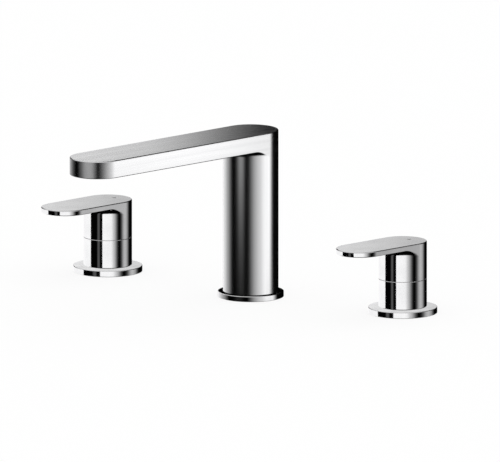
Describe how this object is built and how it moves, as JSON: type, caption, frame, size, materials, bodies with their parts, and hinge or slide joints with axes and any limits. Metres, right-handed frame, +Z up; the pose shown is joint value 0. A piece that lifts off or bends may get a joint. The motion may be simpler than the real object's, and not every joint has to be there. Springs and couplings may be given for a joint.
{
  "type": "bath filler",
  "caption": "Deck-mounted bath filler: a swivel spout with a flat arm on a round column, with separate hot and cold quarter-turn lever valves.",
  "frame": {"origin": "centre of the spout's hole, on the top of the deck", "axes": "+Z is up out of the deck, -Y is the way that the spout and both levers point at rest, and +X is the user's right, from the hot valve to the cold valve"},
  "size_m": [0.3743, 0.2805, 0.2456],
  "materials": {
    "polished_chrome": "polished chrome plate",
    "brushed_chrome": "finely brushed chrome plate",
    "cast_brass": "cast and turned, bare",
    "stainless_steel": "plain stainless",
    "black_rubber": "matte",
    "white_acetal": "satin moulded",
    "grey_ceramic": "lapped ceramic",
    "index_enamel": "gloss"
  },
  "bodies": {
    "deck_side": {"spout_deck_seal": "black_rubber", "spout_base_ring": "polished_chrome", "spout_clamp_seal": "black_rubber", "spout_clamp_washer": "stainless_steel", "spout_lock_nut": "cast_brass", "spout_post": "cast_brass", "post_o_ring_lower": "black_rubber", "post_o_ring_upper": "black_rubber", "swivel_washer": "white_acetal", "tee_seal": "black_rubber", "inlet_tee": "cast_brass", "hot_deck_seal": "black_rubber", "hot_flange": "polished_chrome", "hot_clamp_seal": "black_rubber", "hot_clamp_washer": "stainless_steel", "hot_lock_nut": "cast_brass", "hot_valve_body": "cast_brass", "hot_sleeve": "polished_chrome", "hot_cartridge_body": "cast_brass", "hot_cartridge_o_ring": "black_rubber", "hot_seat_seal": "black_rubber", "hot_fixed_disc": "grey_ceramic", "cold_deck_seal": "black_rubber", "cold_flange": "polished_chrome", "cold_clamp_seal": "black_rubber", "cold_clamp_washer": "stainless_steel", "cold_lock_nut": "cast_brass", "cold_valve_body": "cast_brass", "cold_sleeve": "polished_chrome", "cold_cartridge_body": "cast_brass", "cold_cartridge_o_ring": "black_rubber", "cold_seat_seal": "black_rubber", "cold_fixed_disc": "grey_ceramic"},
    "spout": {"spout_body": "brushed_chrome", "swivel_socket": "cast_brass", "socket_o_ring": "black_rubber", "spout_limit_screw": "stainless_steel", "aerator_housing": "polished_chrome", "aerator_seal": "black_rubber", "aerator_insert": "white_acetal"},
    "hot_handle": {"hot_lever": "polished_chrome", "hot_lever_grub_screw": "stainless_steel", "hot_index_button": "index_enamel", "hot_spline_adaptor": "white_acetal", "hot_spindle": "cast_brass", "hot_spindle_o_ring": "black_rubber", "hot_spindle_clip": "stainless_steel", "hot_moving_disc": "grey_ceramic"},
    "cold_handle": {"cold_lever": "polished_chrome", "cold_lever_grub_screw": "stainless_steel", "cold_index_button": "index_enamel", "cold_spline_adaptor": "white_acetal", "cold_spindle": "cast_brass", "cold_spindle_o_ring": "black_rubber", "cold_spindle_clip": "stainless_steel", "cold_moving_disc": "grey_ceramic"}
  },
  "joints": [
    {"name": "spout_swivel", "type": "hinge", "parent": "deck_side", "child": "spout", "pos_m": [0, 0, 0], "axis": [0, 0, 1], "range_deg": [-60, 60]},
    {"name": "hot_lever_turn", "type": "hinge", "parent": "deck_side", "child": "hot_handle", "pos_m": [-0.1693, -0.0099, 0], "axis": [0, 0, 1], "range_deg": [-90, 0]},
    {"name": "cold_lever_turn", "type": "hinge", "parent": "deck_side", "child": "cold_handle", "pos_m": [0.145, 0.0435, 0], "axis": [0, 0, 1], "range_deg": [0, 90]}
  ]
}
